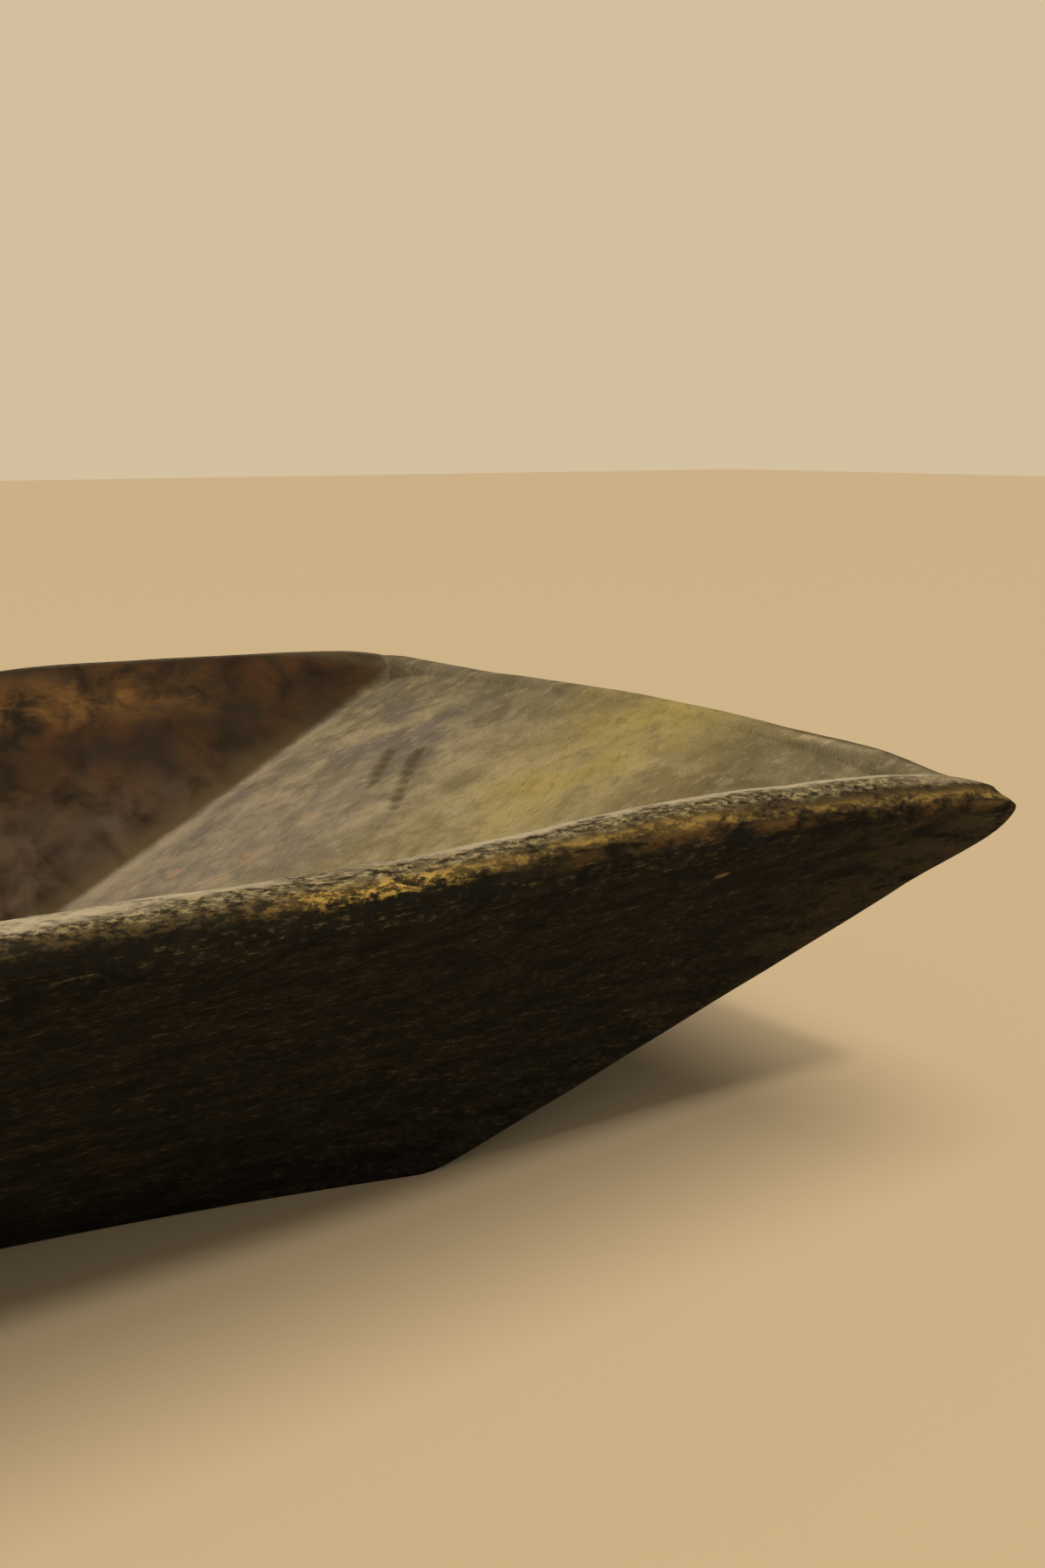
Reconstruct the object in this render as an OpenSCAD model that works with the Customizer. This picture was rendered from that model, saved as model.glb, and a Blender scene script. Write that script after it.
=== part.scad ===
// Rectangular dough bowl hewn from one half log.
// Two bowed side walls, two long end ramps, hip ridges outside and sharp creases inside.
// X runs along the grain, Y across it, Z up. The origin is the middle of the flat foot.

/* [Overall] */
// Length over the rim, from end to end
bowl_length = 764; // [660:4:880]
// Width over the rim at mid length
bowl_width = 366; // [346:2:410]
// Height of the rim's crest above the table
bowl_height = 114.5; // [95:0.5:135]

/* [Rim] */
// Width over the rim where the sides meet the ends
corner_width = 332; // [306:2:356]
// How far the middle of each end stands out past its corners
end_bow = 0.5; // [0:0.5:12]
// Thickness of the side walls at the rim
side_rim = 25; // [18:0.5:32]
// Thickness of the end walls at the rim
end_rim = 15; // [12:0.5:24]
// How far the rounded rim falls from its crest to either edge
rim_round = 8; // [4:0.5:10]
// Share of that fall left at the inner edge of the ends, where the ramp runs up into the rim
end_lip = 0.3; // [0.1:0.05:1]
// How far the crest of the ends lies below that of the sides
end_dip = 3; // [0:0.5:6]
// How far the worn rim falls at each corner
corner_droop = 7; // [0:0.5:14]
// Distance over which that fall fades out
droop_reach = 30; // [15:1:60]
// Rounding of the corners, seen from above
corner_round = 6; // [4:0.5:14]
// Height of the uneven swells along the hand-cut rim
rim_wave = 0.9; // [0:0.1:3]
// Length of one such swell
wave_length = 210; // [120:10:400]

/* [Foot] */
// Length of the flat foot
foot_length = 488; // [420:4:540]
// Width of the foot at its ends
foot_width = 180; // [160:2:196]
// Width of the foot at mid length, where the log was rounder
foot_waist = 104; // [98:2:160]
// Rounding of the foot's corners, which runs out up the hip ridges
foot_corner_round = 14; // [5:1:24]

/* [Hollow] */
// Thickness of the floor
floor_thickness = 22; // [14:0.5:30]
// Thickness of the side walls at the level of the floor
side_base = 14.5; // [12:0.5:24]
// Horizontal run of each end ramp, from the rim down to the floor
ramp_run = 222; // [170:2:240]
// Share of each wall that turns into the floor in a hollow curve
cove_share = 0.3; // [0.1:0.05:0.5]
// Rounding of the floor's corners
floor_corner_round = 14; // [5:1:24]
// Rounding of the creases between the side walls and the ramps, at the rim
crease_round = 4; // [2:0.5:8]

/* [Hidden] */

// Segments along a side, along an end, round a corner, over the rim, down a wall and down a cove
side_steps = 32;
end_steps = 16;
corner_steps = 4;
rim_steps = 8;
hollow_steps = 4;
cove_steps = 4;

// Levels of the outer wall, closer together where it turns under to the foot
wall_levels = [0, 0.05, 0.14, 0.32, 0.62, 1];
// The bow of the sides and the length of the ends swell early as they rise from the foot
side_swell = 0.8;
end_swell = 0.92;
// How soon the rim changes from the corners to the middle of the ends
lip_fade = 6;
// How full the rounding of the rim is: 2 for a plain arch, more for a flatter top
rim_fullness = 2.6;

rim_half = [bowl_length / 2 - end_bow, corner_width / 2];
side_bow = (bowl_width - corner_width) / 2;
foot_half = [foot_length / 2, foot_width / 2];
foot_bow = (foot_waist - foot_width) / 2;

// An outline has four bowed edges and four rounded corners. It is written as
// [half length, half width, bow of the sides, bow of the ends, corner rounding].

function mix(a, b, share) = a + (b - a) * share;
function mix_bezier(a, b, c, t) = mix(mix(a, b, t), mix(b, c, t), t);

// The outer wall's outline at a share of the way from the foot to the rim
function wall_outline(level) = [
    mix(foot_half[0], rim_half[0], pow(level, end_swell)),
    mix(foot_half[1], rim_half[1], level),
    mix(foot_bow, side_bow, pow(level, side_swell)),
    end_bow * level,
    mix(foot_corner_round, corner_round, sqrt(level))
];

// The rim's outline at a distance in from the outer edge of its sides, and less at its thinner ends
function rim_inset(in, round) = [
    rim_half[0] - in * end_rim / side_rim, rim_half[1] - in, side_bow, end_bow, round
];

// Points of an outline, counter-clockwise seen from above
function side_point(o, x, s) = [x, s * (o[1] + o[2] * (1 - pow(x / o[0], 2)))];
function end_point(o, y, s) = [s * (o[0] + o[3] * (1 - pow(y / o[1], 2))), y];
function side_run(o, s) = [
    for (i = [0:side_steps])
        side_point(o, -s * mix(-1, 1, i / side_steps) * (o[0] - o[4]), s)
];
function end_run(o, s) = [
    for (i = [0:end_steps])
        end_point(o, s * mix(-1, 1, i / end_steps) * (o[1] - o[4]), s)
];
function corner_run(from, tip, to) = [
    for (i = [1:corner_steps - 1]) mix_bezier(from, tip, to, i / corner_steps)
];
function last(list) = list[len(list) - 1];
function outline_points(o) =
    let (front = side_run(o, -1), right = end_run(o, 1), back = side_run(o, 1), left = end_run(o, -1))
    concat(
        front, corner_run(last(front), [o[0], -o[1]], right[0]),
        right, corner_run(last(right), [o[0], o[1]], back[0]),
        back, corner_run(last(back), [-o[0], o[1]], left[0]),
        left, corner_run(last(left), [-o[0], -o[1]], front[0])
    );

// How far the rim lies below its full height at a point of an outline: the worn corners,
// and two uneven swells that are out of step between one side and the other
function droop(o, p) =
    corner_droop * exp(-norm([abs(p[0]) - o[0], abs(p[1]) - o[1]]) / droop_reach);
function swell(p) =
    rim_wave * (sin(360 * p[0] / wave_length + p[1]) + sin(540 * p[0] / wave_length - 2 * p[1])) / 2;
function rim_fall(o, p) = droop(o, p) + rim_wave + swell(p);

// How far a point lies from the middle of an end: 0 there, 1 at the corners and all along the sides
function from_middle(o, p) = pow(min(1, abs(p[1]) / o[1]), lip_fade);

// Height of the rim's crest over a point of an outline
function crest(o, p) = bowl_height - end_dip * (1 - from_middle(o, p)) - rim_fall(o, p);

// A ring of points at a share of the height from the foot to the rim, less a fall from its crest
function outer_ring(o, share, below) = [
    for (p = outline_points(o)) [p[0], p[1], share * (crest(o, p) - below)]
];

// The same from the floor, where that fall fades from the corners to the middle of each end
function inner_ring(o, share, below) = [
    for (p = outline_points(o))
        let (lip = mix(end_lip, 1, from_middle(o, p)))
        [p[0], p[1], mix(floor_thickness, crest(o, p) - below * lip, share)]
];

wall_rings = [for (level = wall_levels) outer_ring(wall_outline(level), level, rim_round)];

// The rim is one arch from the top of the outer wall to the mouth of the hollow
rim_rings = [
    for (i = [1:rim_steps])
        let (
            share = (1 - cos(180 * i / rim_steps)) / 2,
            o = rim_inset(share * side_rim, mix(corner_round, crease_round, share)),
            below = rim_round * pow(abs(2 * share - 1), rim_fullness)
        )
        share <= 0.5 ? outer_ring(o, 1, below) : inner_ring(o, 1, below)
];

// The hollow runs straight from its mouth to where the walls would meet the floor,
// and the cove rounds that meeting off between the wall and the floor.
mouth_outline = rim_inset(side_rim, crease_round);
floor_edge = wall_outline(floor_thickness / bowl_height);
floor_outline = [
    mouth_outline[0] - ramp_run,
    floor_edge[1] + min(0, floor_edge[2]) - side_base,
    0, end_bow, floor_corner_round
];
cove_start = mix(mouth_outline, floor_outline, 1 - cove_share);
cove_end = [
    floor_outline[0] - cove_share * ramp_run / 2,
    floor_outline[1] - cove_share * (mouth_outline[1] - floor_outline[1]),
    0, end_bow, floor_corner_round
];

hollow_rings = [
    for (i = [1:hollow_steps - 1])
        let (share = i / hollow_steps)
        inner_ring(mix(mouth_outline, cove_start, share), 1 - share * (1 - cove_share), rim_round)
];

cove_rings = [
    for (i = [0:cove_steps])
        let (t = i / cove_steps)
        inner_ring(
            mix_bezier(cove_start, floor_outline, cove_end, t),
            cove_share * pow(1 - t, 2), rim_round
        )
];

// Faces of one strip between two rings, and of a flat fan from a ring to the point at its middle
function strip(count, low) = [
    for (i = [0:count - 1])
        let (a = low + i, b = low + (i + 1) % count)
        each [[a, b, b + count], [a, b + count, a + count]]
];
function fan(count, low, middle, turn) = [
    for (i = [0:count - 1])
        let (a = low + i, b = low + (i + 1) % count)
        turn > 0 ? [a, b, middle] : [b, a, middle]
];

// Skin through a list of rings with the same number of points, closed by a fan at each end
module skin(rings, first_middle, last_middle) {
    count = len(rings[0]);
    total = count * len(rings);
    polyhedron(
        points = concat([for (r = rings) each r], [first_middle, last_middle]),
        faces = concat(
            [for (r = [0:len(rings) - 2]) each strip(count, r * count)],
            fan(count, 0, total, -1),
            fan(count, total - count, total + 1, 1)
        )
    );
}

module bowl() {
    color([0.13, 0.10, 0.06])
        skin(
            concat(wall_rings, rim_rings, hollow_rings, cove_rings),
            [0, 0, 0], [0, 0, floor_thickness]
        );
}

bowl();
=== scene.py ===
"""A worn dough bowl hewn from one half log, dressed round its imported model."""
import math
from types import SimpleNamespace

import bmesh
import bpy
import numpy as np
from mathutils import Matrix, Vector, noise


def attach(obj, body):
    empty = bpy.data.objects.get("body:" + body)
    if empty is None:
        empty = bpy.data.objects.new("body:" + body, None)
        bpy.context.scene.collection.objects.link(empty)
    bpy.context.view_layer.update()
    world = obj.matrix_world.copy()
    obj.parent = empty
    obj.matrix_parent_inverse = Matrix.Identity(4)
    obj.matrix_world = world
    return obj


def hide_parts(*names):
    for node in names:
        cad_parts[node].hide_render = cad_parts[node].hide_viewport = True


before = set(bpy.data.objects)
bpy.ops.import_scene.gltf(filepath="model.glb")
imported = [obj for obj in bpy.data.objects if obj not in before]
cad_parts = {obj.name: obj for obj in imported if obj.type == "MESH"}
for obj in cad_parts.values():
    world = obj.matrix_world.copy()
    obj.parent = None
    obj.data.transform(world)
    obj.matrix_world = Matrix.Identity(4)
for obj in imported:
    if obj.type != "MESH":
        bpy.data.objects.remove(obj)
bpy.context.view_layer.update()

MM = 0.001

# The bowl's own sizes in millimetres, the same as its solid's
LENGTH, WIDTH, HEIGHT = 764, 366, 114.5
CORNER_WIDTH, SIDE_RIM, END_RIM, END_BOW = 332, 25, 15, 0.5
RIM_ROUND, RIM_FULLNESS, END_LIP, END_DIP, LIP_FADE = 8, 2.6, 0.3, 3, 6
DROOP, DROOP_REACH, CORNER_ROUND, WAVE, WAVE_LENGTH = 7, 30, 6, 0.9, 210
FOOT_LENGTH, FOOT_WIDTH, FOOT_WAIST, FOOT_CORNER = 488, 180, 104, 14
FLOOR, SIDE_BASE, RAMP_RUN, COVE, FLOOR_CORNER, CREASE = 22, 14.5, 222, 0.3, 14, 4
SIDE_SWELL, END_SWELL = 0.8, 0.92
# Rounding of the rim's outer edge along the sides and at the tips, and where one fades to the other
SIDE_EASE, TIP_EASE, EASE_FADE = 7.0, 1.5, (250, 360)
# The full nose below each tip: its height, how far it reaches from the hip ridge, up and down,
# and how far it stands out
NOSE_HEIGHT, NOSE_REACH, NOSE_RISE, NOSE_DROP, NOSE_OUT = 91, 17, 8, 17, 4.0
# Height of the hip ridge's upper end, and how far round the nose the tip is rubbed
TIP_HEIGHT, TIP_RUB = 99, 16
# The far right tip's lift and its reach
TIP_LIFT, LIFT_REACH = 3.0, 45
# Wear of the right end beside its near tip: depth, place across, reach across and along
END_WEAR, WEAR_Y, WEAR_ACROSS, WEAR_ALONG = 3.2, -145, 16, 20
# The most that the skin may stand out, so that it stays by the solid
MOST_OUT = 1.2

# Cuts along a side, along an end and round a corner, and rings over each stretch of the skin
SIDE_CUTS, END_CUTS, CORNER_CUTS = 200, 104, 6
COVE_RINGS, HOLLOW_RINGS, RIM_RINGS, WALL_RINGS = 9, 37, 28, 36
# How closely the outer wall's rings gather at the rim and at the foot: 0 for even, 1 for most
GATHER = 0.65
AROUND = 2 * (SIDE_CUTS + END_CUTS + 2 * CORNER_CUTS)
FLOOR_CELLS = (SIDE_CUTS + CORNER_CUTS, END_CUTS + CORNER_CUTS)

RIM_HALF = np.array((LENGTH / 2 - END_BOW, CORNER_WIDTH / 2))
SIDE_BOW = (WIDTH - CORNER_WIDTH) / 2
FOOT_BOW = (FOOT_WAIST - FOOT_WIDTH) / 2


def mix(a, b, share):
    return a + (b - a) * share


def curve(a, b, c, t):
    return mix(mix(a, b, t), mix(b, c, t), t)


def smooth(low, high, x):
    t = np.clip((x - low) / (high - low), 0, 1)
    return t * t * (3 - 2 * t)


# Outlines: half length, half width, bow of the sides, bow of the ends, corner rounding

def wall_outline(level):
    return np.array((
        mix(FOOT_LENGTH / 2, RIM_HALF[0], level ** END_SWELL),
        mix(FOOT_WIDTH / 2, RIM_HALF[1], level),
        mix(FOOT_BOW, SIDE_BOW, level ** SIDE_SWELL),
        END_BOW * level,
        mix(FOOT_CORNER, CORNER_ROUND, math.sqrt(level)),
    ))


def rim_inset(inset, rounding):
    ends = inset * END_RIM / SIDE_RIM
    return np.array((RIM_HALF[0] - ends, RIM_HALF[1] - inset, SIDE_BOW, END_BOW, rounding))


def outline_points(o):
    """Points round an outline, counter-clockwise from the near side's left end."""
    def side(s):
        x = -s * np.linspace(-1, 1, SIDE_CUTS + 1) * (o[0] - o[4])
        return np.stack((x, s * (o[1] + o[2] * (1 - (x / o[0]) ** 2))), 1)

    def end(s):
        y = s * np.linspace(-1, 1, END_CUTS + 1) * (o[1] - o[4])
        return np.stack((s * (o[0] + o[3] * (1 - (y / o[1]) ** 2)), y), 1)

    def corner(start, tip, stop):
        t = np.linspace(0, 1, CORNER_CUTS + 1)[1:-1, None]
        return curve(start, np.array(tip), stop, t)

    near, right, far, left = side(-1), end(1), side(1), end(-1)
    return np.concatenate((
        near, corner(near[-1], (o[0], -o[1]), right[0]),
        right, corner(right[-1], (o[0], o[1]), far[0]),
        far, corner(far[-1], (-o[0], o[1]), left[0]),
        left, corner(left[-1], (-o[0], -o[1]), near[0]),
    ))


def from_middle(o, p):
    """0 at the middle of an end, 1 at the corners and all along the sides."""
    return np.minimum(1, np.abs(p[:, 1]) / o[1]) ** LIP_FADE


def crest(o, p):
    """Height of the rim's crest over the points of an outline."""
    reach = np.hypot(np.abs(p[:, 0]) - o[0], np.abs(p[:, 1]) - o[1])
    turn = 2 * math.pi * p[:, 0] / WAVE_LENGTH
    lag = np.radians(p[:, 1])
    swell = (np.sin(turn + lag) + np.sin(1.5 * turn - 2 * lag)) / 2
    fall = DROOP * np.exp(-reach / DROOP_REACH) + WAVE * (1 + swell)
    return HEIGHT - END_DIP * (1 - from_middle(o, p)) - fall


def outer_ring(o, share, below):
    p = outline_points(o)
    return np.column_stack((p, share * (crest(o, p) - below)))


def inner_ring(o, share, below):
    p = outline_points(o)
    lip = mix(END_LIP, 1, from_middle(o, p))
    return np.column_stack((p, mix(FLOOR, crest(o, p) - below * lip, share)))


def skin_rings():
    """Rings of the skin from the floor's edge, up the hollow, over the rim and down to the foot."""
    mouth = rim_inset(SIDE_RIM, CREASE)
    edge = wall_outline(FLOOR / HEIGHT)
    floor = np.array((
        mouth[0] - RAMP_RUN, edge[1] + min(0, edge[2]) - SIDE_BASE, 0, END_BOW, FLOOR_CORNER
    ))
    start = mix(mouth, floor, 1 - COVE)
    stop = floor.copy()
    stop[0] -= COVE * RAMP_RUN / 2
    stop[1] -= COVE * (mouth[1] - floor[1])
    rings = []
    for t in np.linspace(1, 0, COVE_RINGS + 1):
        rings.append(inner_ring(curve(start, floor, stop, t), COVE * (1 - t) ** 2, RIM_ROUND))
    for share in np.linspace(1, 0, HOLLOW_RINGS + 1)[1:]:
        rings.append(inner_ring(mix(mouth, start, share), 1 - share * (1 - COVE), RIM_ROUND))
    for turn in np.linspace(math.pi, 0, RIM_RINGS + 1)[1:]:
        share = (1 - math.cos(turn)) / 2
        o = rim_inset(share * SIDE_RIM, mix(CORNER_ROUND, CREASE, share))
        below = RIM_ROUND * abs(2 * share - 1) ** RIM_FULLNESS
        rings.append((inner_ring if share > 0.5 else outer_ring)(o, 1, below))
    outer_edge = len(rings) - 1
    for t in np.linspace(0, 1, WALL_RINGS + 1)[1:]:
        level = max(0.0, 1 - t + GATHER * math.sin(2 * math.pi * t) / (2 * math.pi))
        rings.append(outer_ring(wall_outline(level), level, RIM_ROUND))
    return np.array(rings), outer_edge


def deselect():
    bpy.ops.object.select_all(action="DESELECT")


def ease_edge(rings, across, edge):
    """Rounds the rim's outer edge along the sides, and less towards the tips."""
    for k in range(AROUND):
        ease = mix(SIDE_EASE, TIP_EASE, smooth(*EASE_FADE, abs(edge[k, 0])))
        near = np.abs(across[:, k]) < ease
        below, above = (
            np.array([np.interp(-d, -across[:, k], rings[:, k, i]) for i in range(3)])
            for d in (-ease, ease)
        )
        t = (across[near, k] + ease) / (2 * ease)
        rings[near, k] = curve(below, edge[k], above, t[:, None])


def hew_bowl():
    """A grid for the floor, whose edge is drawn up the hollow, over the rim and down to the foot."""
    rings, outer_edge = skin_rings()
    steps = np.linalg.norm(np.diff(rings, axis=0), axis=2)
    run = np.concatenate((np.zeros((1, AROUND)), np.cumsum(steps, axis=0)))
    across = run[outer_edge] - run
    ease_edge(rings, across, rings[outer_edge].copy())
    at_end = np.zeros(AROUND)
    for k in range(AROUND):
        side = k % (AROUND // 2)
        at_end[k] = smooth(SIDE_CUTS, SIDE_CUTS + CORNER_CUTS, side)
        if side > SIDE_CUTS + CORNER_CUTS + END_CUTS:
            at_end[k] = 1 - smooth(AROUND // 2 - CORNER_CUTS, AROUND // 2, side)

    deselect()
    cells_x, cells_y = FLOOR_CELLS
    bpy.ops.mesh.primitive_grid_add(x_subdivisions=cells_x, y_subdivisions=cells_y, size=2)
    bowl = bpy.context.active_object
    bowl.name = bowl.data.name = "hewn_bowl"
    bpy.ops.object.mode_set(mode="EDIT")
    bm = bmesh.from_edit_mesh(bowl.data)
    place = bm.verts.layers.int.new("place")
    layers = {n: bm.verts.layers.float.new(n) for n in ("across", "at_end")}

    def put(v, r, k):
        v.co = Vector(rings[r, k]) * MM
        v[layers["across"]] = across[r, k]
        v[layers["at_end"]] = at_end[k]

    # The grid's edge takes its places round the first ring, and its inside lies between them
    first = rings[0]
    walk = np.arange(-CORNER_CUTS // 2, AROUND - CORNER_CUTS // 2) % AROUND
    near = walk[:cells_x + 1]
    right = walk[cells_x:cells_x + cells_y + 1]
    far = walk[cells_x + cells_y:2 * cells_x + cells_y + 1][::-1]
    left = np.append(walk[2 * cells_x + cells_y:], walk[0])[::-1]
    for v in bm.verts:
        i = round((v.co.x + 1) / 2 * cells_x)
        j = round((v.co.y + 1) / 2 * cells_y)
        s, t = i / cells_x, j / cells_y
        v[place] = -1
        if j == 0:
            v[place] = near[i]
        elif j == cells_y:
            v[place] = far[i]
        elif i == 0:
            v[place] = left[j]
        elif i == cells_x:
            v[place] = right[j]
        if v[place] >= 0:
            put(v, 0, v[place])
            continue
        corners = mix(
            mix(first[near[0]], first[near[-1]], s), mix(first[far[0]], first[far[-1]], s), t
        )
        p = mix(first[near[i]], first[far[i]], t) + mix(first[left[j]], first[right[j]], s) - corners
        v.co = Vector(p) * MM
        v[layers["across"]] = across[0].max()
    bmesh.update_edit_mesh(bowl.data)

    bpy.ops.mesh.select_all(action="SELECT")
    bpy.ops.mesh.region_to_loop()
    for r in range(1, len(rings)):
        bpy.ops.mesh.extrude_edges_move()
        bm = bmesh.from_edit_mesh(bowl.data)
        place = bm.verts.layers.int["place"]
        layers = {n: bm.verts.layers.float[n] for n in layers}
        for v in bm.verts:
            if v.select:
                put(v, r, v[place])
    bpy.ops.mesh.edge_face_add()
    bpy.ops.mesh.select_all(action="SELECT")
    bpy.ops.mesh.normals_make_consistent(inside=False)
    bpy.ops.object.mode_set(mode="OBJECT")
    bpy.ops.object.shade_smooth()
    return bowl


def blunt_tips(bowl):
    """Fills out the nose below each tip and rubs the tip round."""
    mesh = bowl.data
    bpy.ops.object.mode_set(mode="EDIT")
    bm = bmesh.from_edit_mesh(mesh)
    bpy.ops.mesh.select_all(action="DESELECT")
    for v in bm.verts:
        x, y, z = v.co / MM
        level = min(1, z / TIP_HEIGHT)
        ridge = mix(FOOT_LENGTH, LENGTH, level) / 2, mix(FOOT_WIDTH, CORNER_WIDTH, level) / 2
        reach = math.hypot(abs(x) - ridge[0], abs(y) - ridge[1])
        rise = z - NOSE_HEIGHT
        fade = (rise / NOSE_RISE) ** 2 if rise > 0 else -rise / NOSE_DROP
        out = NOSE_OUT * math.exp(-(reach / NOSE_REACH) ** 2 - fade)
        v.co += Vector((math.copysign(out, x), math.copysign(out, y), 0)) * MM
        v.select = math.hypot(reach, rise) < TIP_RUB
    bm.select_flush_mode()
    bmesh.update_edit_mesh(mesh)
    bpy.ops.mesh.vertices_smooth(factor=0.5, repeat=7)
    bpy.ops.object.mode_set(mode="OBJECT")


def read(mesh, name):
    values = np.empty(len(mesh.vertices), np.float32)
    mesh.attributes[name].data.foreach_get("value", values)
    return values


def rough(points, size, octaves=3):
    """Fractal noise, about -1 to 1, with features of a size in millimetres along each axis."""
    scaled = points / np.array(size)
    return np.array([noise.fractal(p, 1.0, 2.1, octaves) for p in scaled])


def scoops(points, size):
    """Shallow overlapping tool strokes: 0 in the middle of a stroke, about 1 on the ridges."""
    scaled = points / np.array(size)
    return np.array([min(1.0, noise.voronoi(p)[0][0]) for p in scaled]) ** 2


# Knocks in the rim: place along the length, which side, reach along and across, depth
KNOCKS = (
    (161, -1, 7, 6, 0.9), (178, -1, 5, 5, 0.8), (233, -1, 5, 5, 1.1), (118, -1, 12, 6, 0.6),
    (302, -1, 10, 6, 1.0), (348, -1, 7, 6, 1.2), (62, -1, 10, 7, 1.1), (-40, -1, 14, 7, 1.2),
    (-150, -1, 9, 7, 1.4), (-270, -1, 16, 8, 1.0), (120, 1, 16, 8, 1.2), (208, 1, 10, 7, 1.0),
    (-90, 1, 12, 7, 1.3), (-232, 1, 9, 7, 1.1), (20, 1, 10, 7, 0.9), (-330, 1, 10, 8, 1.3),
)
# Slips of the gouge across the ramps: where each starts and stops in plan, and its depth
GOUGES = (
    ((317, 60), (297, 41), 0.9), ((320, 47), (290, 16), 1.1), ((236, -34), (222, -60), 0.6),
    ((-301, -38), (-322, -66), 1.0), ((-262, 24), (-243, 44), 0.7),
)


def wear_bowl(bowl):
    """Moves the skin by hand: uneven hewing, tool strokes, grain, a worn rim, knocks and gouges."""
    mesh = bowl.data
    count = len(mesh.vertices)
    co = np.empty(count * 3, np.float32)
    mesh.vertices.foreach_get("co", co)
    co = co.reshape(-1, 3).astype(float) / MM
    normal = np.empty(count * 3, np.float32)
    mesh.vertex_normals.foreach_get("vector", normal)
    normal = normal.reshape(-1, 3).astype(float)
    across, at_end = (read(mesh, n).astype(float) for n in ("across", "at_end"))

    # Where the skin is, from 0 to 1, with edges that fade over a few millimetres
    at_side = 1 - at_end
    inside = smooth(28, 40, across)
    ramp = at_end * smooth(22, 60, across)
    outside = smooth(-2, -14, across)
    foot = smooth(0.5, 12, co[:, 2])
    rim = smooth(-3, 4, across) * (1 - smooth(26, 34, across))
    # Uneven hewing all over, then tool strokes on the ramps, the inner walls and the outer walls
    move = 0.6 * rough(co, (120, 60, 60)) * foot
    sway = rough(co, (150, 150, 150), 2)[:, None]
    move += ramp * (0.8 * scoops(co + 30 * sway, (58, 22, 58)) - 0.3)
    strokes = scoops(co + 20 * sway, (95, 30, 30))
    move += inside * at_side * (0.8 * strokes - 0.3)
    move += outside * foot * (0.45 * strokes - 0.1)
    # The rim's outer edge is nibbled along the grain, and its inner edge rubbed
    nibble = np.maximum(0, rough(co, (14, 7, 7)) + 0.2)
    move -= np.exp(-((across - 5) / 5) ** 2) * 1.1 * nibble * mix(0.3, 1, at_side)
    move -= np.exp(-((across - 24) / 6) ** 2) * 0.5 * nibble * at_side
    move += 0.2 * rough(co, (40, 3.0, 3.0), 2) * at_side * (rim + 0.6 * inside)
    for x, side, reach, wide, depth in KNOCKS:
        near = np.exp(-((co[:, 0] - x) / reach) ** 2 - ((across - 8) / wide) ** 2)
        move -= depth * near * (np.sign(co[:, 1]) == side) * at_side
    gouge = np.zeros(count)
    for start, stop, depth in GOUGES:
        start, way = np.array(start), np.subtract(stop, start)
        t = np.clip((co[:, :2] - start) @ way / (way @ way), 0, 1)
        gap = np.linalg.norm(co[:, :2] - start - t[:, None] * way, axis=1)
        slip = np.exp(-(gap / mix(3.8, 2.4, t)) ** 2) * ramp
        move -= depth * slip
        gouge = np.maximum(gouge, slip)
    # The far right tip stands a little higher, and the end is worn down beside the near one
    right_tip = np.hypot(co[:, 0] - LENGTH / 2, co[:, 1] - CORNER_WIDTH / 2)
    lift = TIP_LIFT * np.exp(-right_tip / LIFT_REACH) * (co[:, 2] / HEIGHT) ** 2
    worn = END_WEAR * np.exp(
        -((co[:, 1] - WEAR_Y) / WEAR_ACROSS) ** 2 - ((LENGTH / 2 - co[:, 0]) / WEAR_ALONG) ** 2
    )
    co += normal * np.minimum(move, MOST_OUT)[:, None]
    co[:, 2] += lift - worn * smooth(60, 100, co[:, 2])
    co[:, 2] = np.maximum(co[:, 2], 0)
    mesh.vertices.foreach_set("co", (co * MM).astype(np.float32).ravel())
    drawn = mesh.attributes.new("gouge", "FLOAT", "POINT")
    drawn.data.foreach_set("value", gouge.astype(np.float32))
    mesh.update()


class Paint:
    """A shader value. Sums on it add Math nodes, and node() adds any other node."""

    def __init__(self, tree, socket=None):
        self.tree, self.socket = tree, socket

    def node(self, kind, settings=None, sockets=None, out=0):
        made = self.tree.nodes.new(kind)
        for name, value in (settings or {}).items():
            setattr(made, name, value)
        for name, value in (sockets or {}).items():
            if isinstance(value, Paint):
                self.tree.links.new(value.socket, made.inputs[name])
            else:
                made.inputs[name].default_value = value
        return Paint(self.tree, made.outputs[out])

    def sum(self, operation, *terms):
        return self.node("ShaderNodeMath", {"operation": operation}, dict(enumerate(terms)))

    def __add__(self, other):
        return self.sum("ADD", self, other)

    def __radd__(self, other):
        return self.sum("ADD", other, self)

    def __sub__(self, other):
        return self.sum("SUBTRACT", self, other)

    def __rsub__(self, other):
        return self.sum("SUBTRACT", other, self)

    def __mul__(self, other):
        return self.sum("MULTIPLY", self, other)

    def __rmul__(self, other):
        return self.sum("MULTIPLY", other, self)

    def __abs__(self):
        return self.sum("ABSOLUTE", self)

    def step(self, low, high):
        """A soft step from 0 at one value to 1 at another."""
        return self.node("ShaderNodeMapRange", {"interpolation_type": "SMOOTHSTEP"},
                         {"Value": self, "From Min": low, "From Max": high})

    def bell(self, middle, half):
        """1 at a middle value, fading to 0 at a distance from it."""
        return 1 - abs(self - middle).step(0, half)

    def blend(self, under, over, share):
        """Two colours mixed, with the second over the first by a share."""
        under, over = (c if isinstance(c, Paint) else c + (1.0,) for c in (under, over))
        return self.node("ShaderNodeMix", {"data_type": "RGBA"}, {0: share, 6: under, 7: over}, 2)

    def lay(self, over, share):
        return self.blend(self, over, share)


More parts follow.
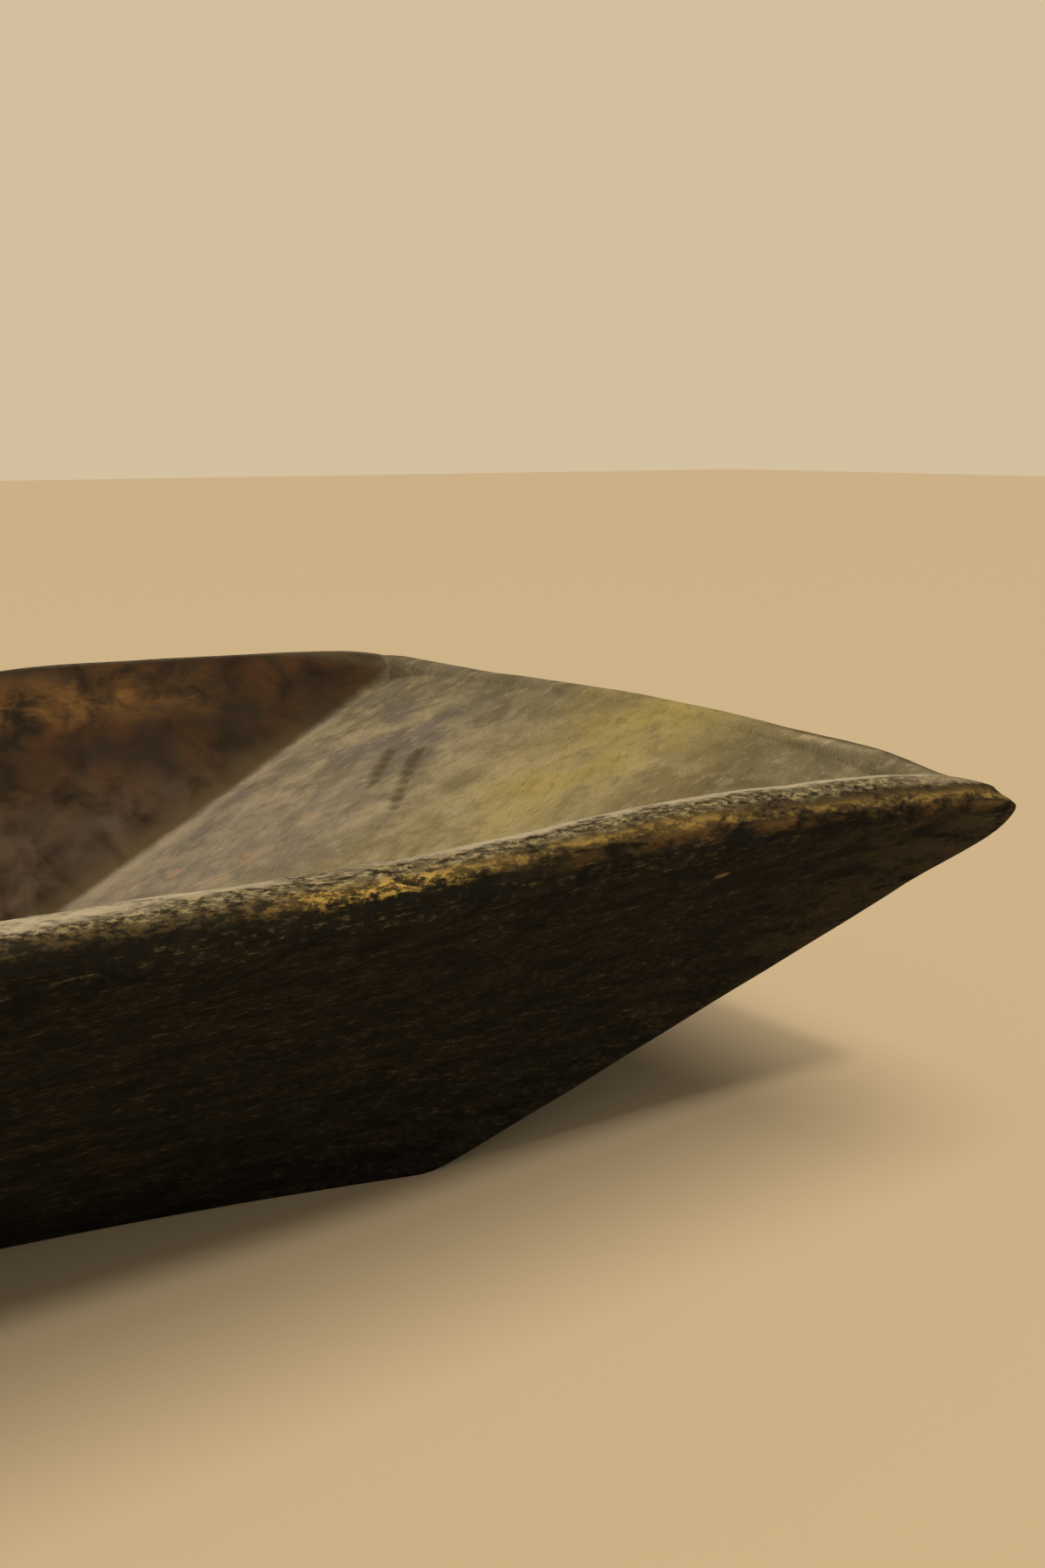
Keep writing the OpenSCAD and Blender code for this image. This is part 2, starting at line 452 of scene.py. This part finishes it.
def wood_grains(paint):
    """Places on the skin in millimetres, and the grains that vary its paint."""
    w = SimpleNamespace(paint=paint)
    place = paint.node("ShaderNodeTexCoord", out=3)
    w.x, w.y, w.z = (
        paint.node("ShaderNodeSeparateXYZ", {}, {0: place}, i) * (1 / MM) for i in range(3)
    )
    w.across, w.at_end, w.gouge = (
        paint.node("ShaderNodeAttribute", {"attribute_name": name}, out=2)
        for name in ("across", "at_end", "gouge")
    )

    def scaled(size, shift):
        return paint.node("ShaderNodeMapping", {}, {
            0: place, "Location": (shift, 2 * shift, 3 * shift),
            "Scale": tuple(1 / (MM * s) for s in size)})

    def grain(size, detail, roughness, warp, shift=0.0):
        """Noise with features of a size in millimetres along X, Y and Z."""
        return paint.node("ShaderNodeTexNoise", {}, {
            0: scaled(size, shift), "Scale": 1.0, "Detail": detail,
            "Roughness": roughness, "Distortion": warp})

    def spots(size, radius, keep):
        """Scattered spots, one in some of the cells of a size in millimetres."""
        cell = {0: scaled(size, 0.0), "Scale": 1.0}
        gap = paint.node("ShaderNodeTexVoronoi", {}, cell)
        dice = paint.node("ShaderNodeTexVoronoi", {}, cell, 1)
        dice = paint.node("ShaderNodeSeparateColor", {}, {0: dice})
        return (1 - gap.step(radius * 0.4, radius)) * dice.step(1 - keep, 1.02 - keep)

    w.speck = grain((2.6, 1.4, 1.4), 5, 0.70, 0.2)
    w.flake = grain((3.2, 1.5, 1.5), 5, 0.66, 0.3, 13)
    w.scratch = grain((9, 0.6, 0.6), 3, 0.55, 0.3, 1)
    w.hair = grain((28, 0.8, 0.8), 4, 0.6, 0.3, 3)
    w.mottle = grain((14, 6, 6), 5, 0.68, 0.4, 7)
    w.blotch = grain((55, 26, 26), 5, 0.62, 0.5, 9)
    w.brush = grain((15, 15, 15), 3, 0.52, 0.5, 2)
    w.smear = grain((25, 22, 25), 3, 0.52, 0.5, 4)
    w.pitted = grain((6, 4.5, 6), 4, 0.62, 0.5, 6)
    w.chips = spots((34, 16, 16), 0.10, 0.14)
    # The near side, the place along it with a wavering edge, and the place across the rim
    w.near = w.y.step(40, -40)
    w.length = abs(w.x) + 50 * (w.blotch - 0.5)
    w.edge = w.across + 5 * (w.mottle - 0.5) + 4 * (w.flake - 0.5)
    # The stretch of the rim that is worn silver, where its crest also carries a broad painted
    # highlight
    w.silver = 1 - w.length.step(94, 132)
    return w


def outer_wall(w):
    """Near black patina, grained with olive and rust, scratched here and there, with painted shade
    along its top under the rim.
    """
    c = w.paint.blend((0.0066, 0.0064, 0.0058), (0.024, 0.0224, 0.0148),
                      (0.5 * w.mottle + 0.5 * w.speck).step(0.38, 0.66))
    c = c.lay((0.032, 0.0178, 0.0094), w.blotch.step(0.50, 0.68) * w.mottle.step(0.42, 0.62) * 0.4)
    c = c.lay((0.086, 0.072, 0.035), w.speck.step(0.55, 0.70) * w.mottle.step(0.40, 0.64))
    c = c.lay((0.140, 0.106, 0.043), w.scratch.step(0.64, 0.74) * w.blotch.step(0.40, 0.62) * 0.8)
    c = c.lay((0.21, 0.155, 0.065), w.chips * w.flake.step(0.35, 0.5) * 0.8)
    c = c.lay((0.058, 0.044, 0.022), w.length.step(280, 360) * w.mottle.step(0.36, 0.60) * 0.6)
    # Painted shade: the colour is darkened from just below the rim's outer edge up over its lower
    # rounding, so that this rounding, which faces the light, stays as dark as the wall under it
    return c.lay((0.0090, 0.0064, 0.0024), w.across.step(-5, 2) * (0.5 + 0.5 * w.flake))


def side_rim(w, golden):
    """From the crest outwards: worn pale with a painted highlight, then grey olive, then dark brown.
    """
    olive = (w.edge - 2 * w.silver).step(7.5, 12) * (0.5 + w.mottle.step(0.3, 0.6)) * 0.8
    c = w.paint.blend((0.046, 0.031, 0.0135), (0.135, 0.102, 0.048), olive)
    c = c.lay((0.018, 0.014, 0.0075), w.flake.step(0.52, 0.42) * 0.85)
    c = c.lay((0.38, 0.285, 0.130), w.speck.step(0.50, 0.60) * w.edge.step(7.5, 12) * 0.8)
    tip = w.length.step(320, 365) * w.edge.step(7, 12) * w.mottle.step(0.34, 0.54)
    c = c.lay((0.30, 0.225, 0.115), tip * 0.8)
    # The pale crest is wear and a painted highlight together: broad over the silver stretch, a thin
    # line along the crest further on, fainter at the ends and on the far side
    broad = w.silver * (w.edge + 1.2 * w.length.step(114, 96)).step(11, 14.7)
    narrow = (1 - w.silver) * w.edge.step(13.6, 17.4) * (0.95 - 0.45 * golden)
    worn = broad + narrow * (1 - 0.8 * w.at_end)
    worn = worn * (w.mottle + 0.6 * w.flake).step(0.52, 0.84) * (0.2 + 0.75 * w.near)
    c = c.lay((0.54, 0.425, 0.255), worn)
    return c.lay((0.040, 0.030, 0.0160), (1 - w.near) * 0.6)


def rubbed_edge(w, outer):
    """The rim over the outer wall, with an edge rubbed to ochre between them."""
    golden = w.length.bell(168, 33)
    # A few flakes in the middle, patches further on, then a thin line that sinks towards the tip
    low = w.edge + 3.4 * w.length.step(225, 330)
    c = w.paint.blend(outer, side_rim(w, golden), low.step(4.6, 7.8))
    rust = low.bell(4.5, 4.5) * w.length.step(190, 250) * w.mottle.step(0.40, 0.60)
    c = c.lay((0.085, 0.044, 0.0140), rust * 0.8)
    brown = low.bell(8.3, 4) * w.length.step(135, 160) * w.mottle.step(0.36, 0.58)
    c = c.lay((0.125, 0.076, 0.022), brown * 0.7)
    gold = low.bell(8.0, 4) * w.flake.step(0.46, 0.55) * w.speck.step(0.38, 0.50)
    c = c.lay((0.50, 0.305, 0.062), gold * (0.06 + 0.9 * golden))
    line = (0.6 * w.flake + 0.4 * w.mottle).step(0.48, 0.59) * w.length.step(150, 210)
    c = c.lay((0.29, 0.178, 0.043), low.bell(8.2, 2.4) * line * 0.75)
    flecks = (0.5 * w.speck + 0.5 * w.scratch).step(0.54, 0.64) * w.mottle.step(0.40, 0.55)
    c = c.lay((0.14, 0.092, 0.031), w.edge.bell(-2, 11) * flecks * 0.5)
    # A small knot in the near rim, ringed by a crack
    along, over = (w.x - 161) * 0.11, (w.across - 13) * 0.2
    ring = along * along + over * over + 1.6 * (w.mottle - 0.5) + 0.6 * (w.flake - 0.5)
    knot = ring.bell(1, 0.25) * w.near
    return c.lay((0.020, 0.015, 0.008), knot * w.speck.step(0.40, 0.54) * 0.7)


def end_ramp(w):
    """Bleached, violet grey on one hand, olive yellow in the middle and browner on the other."""
    drift = w.y * w.x.step(-1, 1) - w.y * w.x.step(1, -1) + 50 * (w.blotch - 0.5)
    c = w.paint.blend((0.190, 0.145, 0.078), (0.350, 0.268, 0.142), w.brush.step(0.34, 0.66))
    c = c.lay((0.320, 0.247, 0.160), w.across.step(70, 150) * drift.step(-20, 50) * 0.6)
    c = c.lay((0.160, 0.127, 0.094), drift.step(-20, 60) * w.smear.step(0.44, 0.64) * 0.75)
    c = c.lay((0.125, 0.088, 0.038), drift.bell(-90, 52) * (0.35 + 0.40 * w.smear.step(0.40, 0.60)))
    # Darker below the rim, and most in the far corner
    c = c.lay((0.140, 0.110, 0.052), (1 - w.across.step(24, 62)) * 0.55)
    c = c.lay((0.085, 0.067, 0.032), (1 - w.across.step(26, 80)) * drift.step(105, 150) * 0.45)
    yellow = drift.bell(-32, 66) * (1 - 0.5 * w.across.step(65, 120))
    c = c.lay((0.420, 0.306, 0.082), yellow * (0.40 + 0.40 * w.smear.step(0.32, 0.66)))
    rosy = w.across.step(95, 150) * drift.bell(55, 45) * w.brush.step(0.54, 0.66)
    c = c.lay((0.400, 0.225, 0.125), rosy * 0.6)
    c = c.lay((0.110, 0.083, 0.042), w.pitted.step(0.50, 0.72) * 0.40)
    c = c.lay((0.450, 0.355, 0.195), w.pitted.step(0.50, 0.30) * w.mottle.step(0.36, 0.60) * 0.45)
    return c.lay((0.075, 0.056, 0.022), (w.gouge + 0.8 * (w.mottle - 0.5)).step(0.30, 0.95) * 0.75)


def side_wall(w):
    """Dark brown with rusty and violet patches, rubbed orange near the rim."""
    c = w.paint.blend((0.018, 0.0120, 0.0062), (0.037, 0.0235, 0.0128),
                      (0.6 * w.smear + 0.4 * w.brush).step(0.32, 0.68))
    c = c.lay((0.078, 0.032, 0.0105), w.smear.step(0.66, 0.36) * w.brush.step(0.28, 0.72) * 0.7)
    c = c.lay((0.100, 0.066, 0.038), w.across.step(75, 165) * w.brush.step(0.25, 0.75) * 0.75)
    rubbed = w.across.bell(42, 26) * (abs(w.x) + 110 * (w.mottle - 0.5)).bell(225, 85)
    rubbed = rubbed * (0.75 * w.brush + 0.25 * w.flake).step(0.36, 0.64)
    c = c.lay((0.190, 0.088, 0.023), rubbed * 0.9)
    c = c.lay((0.085, 0.058, 0.030), w.speck.step(0.56, 0.72) * w.mottle.step(0.40, 0.60) * 0.3)
    corner = (w.across - 0.2 * (w.length - 340)).step(28, 18)
    return c.lay((0.092, 0.066, 0.033), corner * (0.4 + 0.5 * w.brush.step(0.3, 0.7)))


def hollow(w, ramp):
    """Walls and ramps that meet in a crease, straight in plan, and the dull brown floor."""
    crease = 0.36 * abs(w.x) + 10.5 - abs(w.y) + 2 * (w.mottle - 0.5)
    wall = side_wall(w).lay((0.100, 0.064, 0.024),
                            crease.bell(-2, 8) * (0.15 + 0.4 * w.across.step(50, 110)))
    c = w.paint.blend(wall, ramp, crease.step(-2.5, 3))
    # The crease is worn to a pale line on the ramp's side
    line = crease.bell(5, 6) * w.across.step(40, 90)
    c = c.lay((0.36, 0.27, 0.155), line * (0.15 + 0.6 * w.mottle.step(0.35, 0.60)))
    floor = w.paint.blend((0.058, 0.042, 0.025), (0.125, 0.094, 0.056),
                          (0.5 * w.smear + 0.5 * w.mottle).step(0.36, 0.62))
    floor = floor.lay((0.030, 0.021, 0.012), w.hair.step(0.50, 0.64) * 0.4)
    return c.lay(floor, (w.z + 9 * (w.smear - 0.5)).step(40, 24))


def end_rim(w, skin, ramp):
    """The ramp's paint runs on over the rim of the ends, all but their near tips."""
    over = (w.edge - 5 * w.y.step(-50, -100)).step(5, 11)
    return skin.lay(ramp, w.at_end * over * (1 - (w.near * abs(w.y)).step(146, 164)))


def near_tip(w, skin):
    """Beside the near tip the end's crest is dark, with one pale stroke on its inner edge, rubbed
    wear with a painted highlight.
    """
    dark = w.at_end * w.y.step(-62, -100) * w.edge.bell(10, 9)
    skin = skin.lay((0.026, 0.020, 0.010), dark * (0.5 + 0.6 * w.flake))
    # The pale stroke is rubbed wear and a painted highlight together
    rub_and_highlight = w.y.bell(-98, 26) * w.across.bell(18.5, 5) * (0.35 + 0.65 * w.mottle.step(0.42, 0.56))
    return skin.lay((0.50, 0.38, 0.195), rub_and_highlight * w.at_end * 0.8)


def weathered_wood():
    material = bpy.data.materials.new("weathered_wood")
    material.use_nodes = True
    tree = material.node_tree
    tree.nodes.clear()
    paint = Paint(tree)
    w = wood_grains(paint)
    ramp = end_ramp(w)
    skin = end_rim(w, rubbed_edge(w, outer_wall(w)), ramp)
    # On the far side the hollow's paint runs up to the rim's crest
    mouth = w.across + 11 * (1 - w.near) * (1 - w.at_end) + 3 * (w.mottle - 0.5)
    skin = near_tip(w, skin.lay(hollow(w, ramp), mouth.step(26, 32)))

    height = 0.15 * w.hair + 0.20 * w.scratch + 0.45 * w.flake + 0.35 * w.speck + 0.25 * w.mottle
    bump = paint.node("ShaderNodeBump", {}, {
        "Strength": 0.75, "Distance": 0.0016, "Height": height})
    dull = 0.66 + 0.18 * w.mottle + 0.08 * w.at_end - 0.12 * w.silver * w.across.step(4, 10)
    shader = paint.node("ShaderNodeBsdfPrincipled", {}, {
        "Base Color": skin, "Roughness": dull, "Normal": bump, "Specular IOR Level": 0.03})
    tree.links.new(shader.socket, tree.nodes.new("ShaderNodeOutputMaterial").inputs["Surface"])
    return material


def plain(name, rgb):
    material = bpy.data.materials.new(name)
    material.use_nodes = True
    shader = material.node_tree.nodes["Principled BSDF"]
    shader.inputs["Base Color"].default_value = rgb + (1.0,)
    shader.inputs["Roughness"].default_value = 0.9
    return material


def set_stage():
    """A wide pale floor."""
    deselect()
    bpy.ops.mesh.primitive_plane_add(size=14, location=(0, 0, 0))
    floor = bpy.context.active_object
    floor.name = "floor"
    floor.data.materials.append(plain("pale_floor", (0.60, 0.44, 0.245)))


# A broad light high in front, a small one lower and a weak one lower still:
# strength, breadth in degrees, the way it shines
LIGHTS = (
    ("broad_light", 2.0, 47, (0, 0.31, -0.95)),
    ("small_light", 0.9, 6, (0.156, 0.607, -0.779)),
    ("low_light", 0.7, 40, (0.2, 0.85, -0.48)),
)
WARM_WHITE = (1.0, 0.97, 0.92)


def aim(thing, way):
    thing.rotation_euler = Vector(way).to_track_quat("-Z", "Y").to_euler()


def set_light():
    for name, strength, breadth, way in LIGHTS:
        lamp = bpy.data.objects.new(name, bpy.data.lights.new(name, "SUN"))
        bpy.context.collection.objects.link(lamp)
        lamp.data.energy, lamp.data.angle = strength, math.radians(breadth)
        lamp.data.color = WARM_WHITE
        aim(lamp, way)
    world = bpy.data.worlds.new("soft_room")
    bpy.context.scene.world = world
    world.use_nodes = True
    paint = Paint(world.node_tree)
    seen = paint.node("ShaderNodeLightPath", out=0)
    room = paint.blend((0.11, 0.105, 0.095), (0.66, 0.53, 0.35), seen)
    world.node_tree.links.new(room.socket, world.node_tree.nodes["Background"].inputs["Color"])


def set_camera():
    """The photo's angle: low, from the front, turned towards the right end."""
    camera = bpy.data.objects.new("camera", bpy.data.cameras.new("camera"))
    bpy.context.collection.objects.link(camera)
    camera.data.lens, camera.data.sensor_width, camera.data.clip_start = 40, 36, 0.01
    camera.location = (-0.0090, -0.4644, 0.1996)
    yaw, pitch = math.radians(36.308), math.radians(11.372)
    level = math.cos(pitch)
    aim(camera, (math.sin(yaw) * level, math.cos(yaw) * level, -math.sin(pitch)))
    bpy.context.scene.camera = camera
    bpy.context.scene.view_settings.view_transform = "Standard"


bowl = hew_bowl()
blunt_tips(bowl)
wear_bowl(bowl)
bowl.data.materials.append(weathered_wood())
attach(bowl, "root")
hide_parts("bowl")
set_stage()
set_light()
set_camera()
